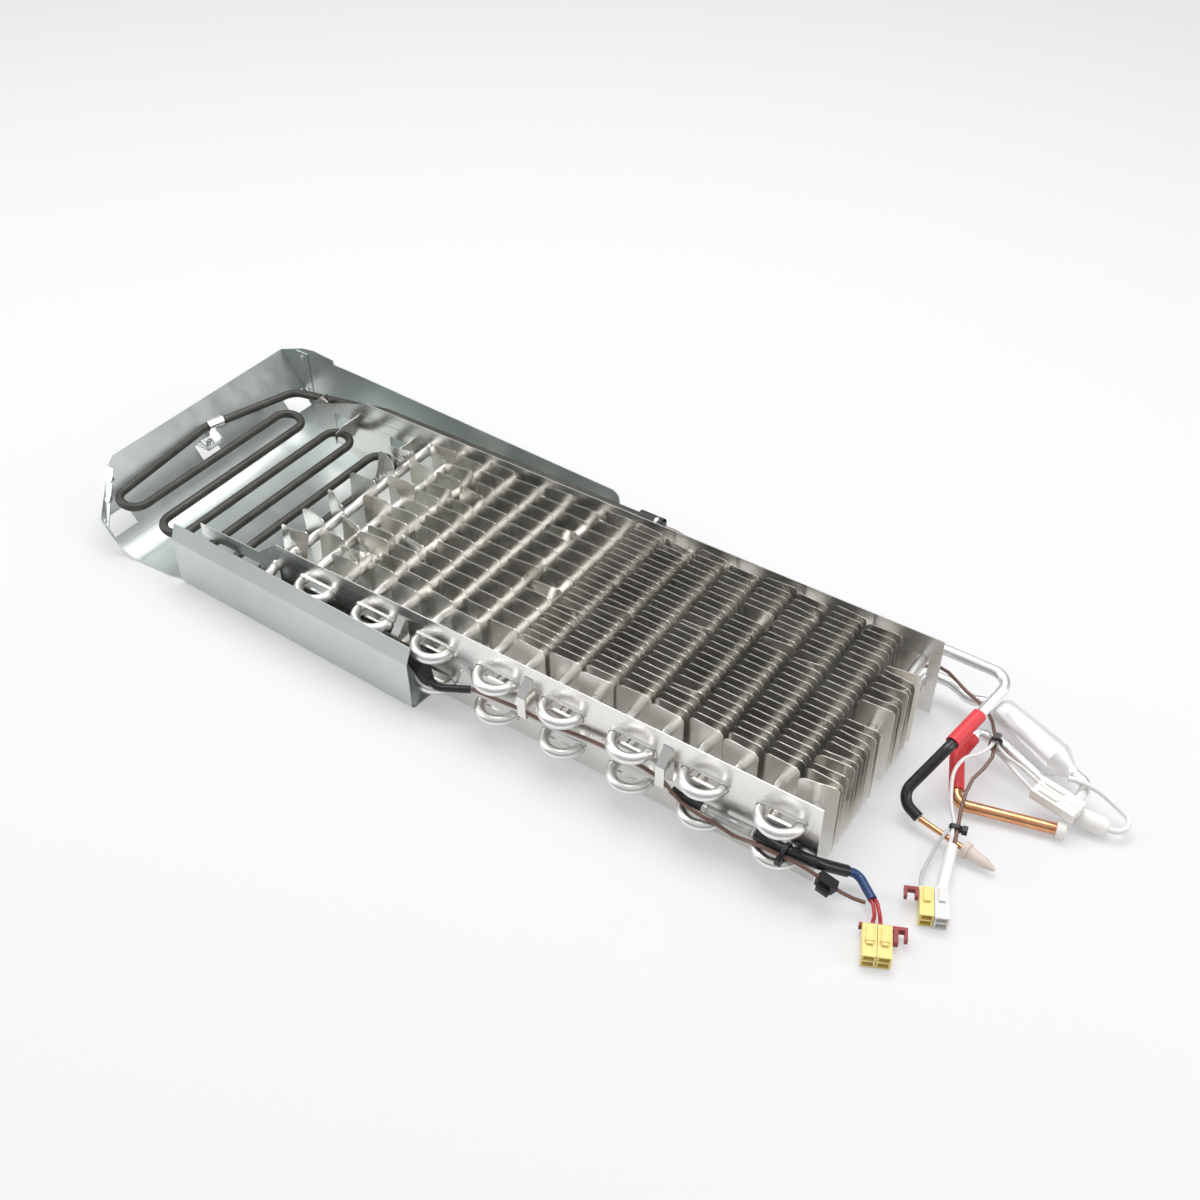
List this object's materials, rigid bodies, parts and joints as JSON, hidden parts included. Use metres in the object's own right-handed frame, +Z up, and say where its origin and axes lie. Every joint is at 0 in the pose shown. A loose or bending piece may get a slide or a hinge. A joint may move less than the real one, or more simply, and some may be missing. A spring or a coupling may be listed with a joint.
{
  "type": "refrigerator evaporator coil",
  "caption": "Finned aluminium tube coil between two end plates on a drip tray, with a bent defrost heater, accumulator, pipes and a wiring harness.",
  "frame": {"origin": "middle of the tray floor's underside, on the surface that the coil lies on", "axes": "+X along the coil from the tray's end wall to the pipe end, +Y across it from the near plate to the far plate, +Z up"},
  "size_m": [0.8152, 0.2566, 0.0724],
  "materials": {
    "tray_sheet": "galvanised, faintly blue-green, soft sheen",
    "rivet": "bright",
    "plate_sheet": "bright sheet, faint rolling lines",
    "coil_tube": "satin drawn tube",
    "fin_sheet": "bright thin sheet",
    "heater_sheath": "matt dark olive grey",
    "clip_sheet": "bright sheet",
    "screw": "zinc plated",
    "black_rubber": "matt",
    "black_sleeve": "satin heat-shrink sleeve",
    "blue_sleeve": "glossy shrink sleeve",
    "red_sleeve": "satin heat-shrink sleeve",
    "white_sleeve": "soft glass-fibre sleeve, plain",
    "clear_sleeve": "clear tube",
    "brown_lead": "satin wire covering",
    "white_lead": "satin wire covering",
    "grey_lead": "satin wire covering",
    "red_lead": "satin wire covering",
    "fuse_case": "bright",
    "black_plastic": "satin",
    "yellow_plastic": "satin moulded",
    "dark_red_plastic": "satin moulded",
    "white_plastic": "satin moulded",
    "clear_plastic": "translucent moulded",
    "cap_clear": "translucent soft cap",
    "pipe": "satin drawn tube",
    "shell": "satin spun shell",
    "copper": "bright copper"
  },
  "bodies": {
    "root": {"tray": "tray_sheet", "tray_rivets": "rivet", "end_plate_near": "plate_sheet", "end_plate_far": "plate_sheet", "coil_tube": "coil_tube", "fin_bank_01": "fin_sheet", "fin_bank_02": "fin_sheet", "fin_bank_03": "fin_sheet", "fin_bank_04": "fin_sheet", "fin_bank_05": "fin_sheet", "fin_bank_06": "fin_sheet", "fin_bank_07": "fin_sheet", "fin_bank_08": "fin_sheet", "fin_bank_09": "fin_sheet", "fin_bank_10": "fin_sheet", "fin_bank_11": "fin_sheet", "fin_bank_12": "fin_sheet", "fin_bank_13": "fin_sheet", "fin_bank_14": "fin_sheet", "fin_bank_15": "fin_sheet", "fin_bank_16": "fin_sheet", "fin_bank_17": "fin_sheet", "heater_tube": "heater_sheath", "heater_clip": "clip_sheet", "clip_screw": "screw", "terminal_boots": "black_rubber", "thin_sleeves": "black_sleeve", "near_lead_brown": "brown_lead", "near_lead_white": "white_lead", "fuse_sleeve": "clear_sleeve", "thermal_fuse": "fuse_case", "harness_sleeve": "black_sleeve", "harness_clip": "black_plastic", "blue_sleeve": "blue_sleeve", "red_leads": "red_lead", "plug_housing_1": "yellow_plastic", "plug_housing_2": "yellow_plastic", "plug_lock": "dark_red_plastic", "inlet_pipe": "pipe", "outlet_pipe": "pipe", "accumulator": "shell", "return_pipe": "pipe", "red_sleeves": "red_sleeve", "inlet_sleeve": "black_sleeve", "capillary": "copper", "capillary_cap": "cap_clear", "suction_pipe": "copper", "suction_cap": "white_plastic", "sensor_block": "white_plastic", "sensor_capsule": "white_plastic", "block_leads": "white_lead", "capsule_lead": "white_lead", "far_lead_brown": "brown_lead", "far_lead_white": "white_lead", "printed_sleeve": "white_sleeve", "grey_lead": "grey_lead", "socket_yellow": "yellow_plastic", "socket_clear": "clear_plastic", "socket_lock": "dark_red_plastic", "zip_ties": "black_plastic"}
  },
  "joints": []
}
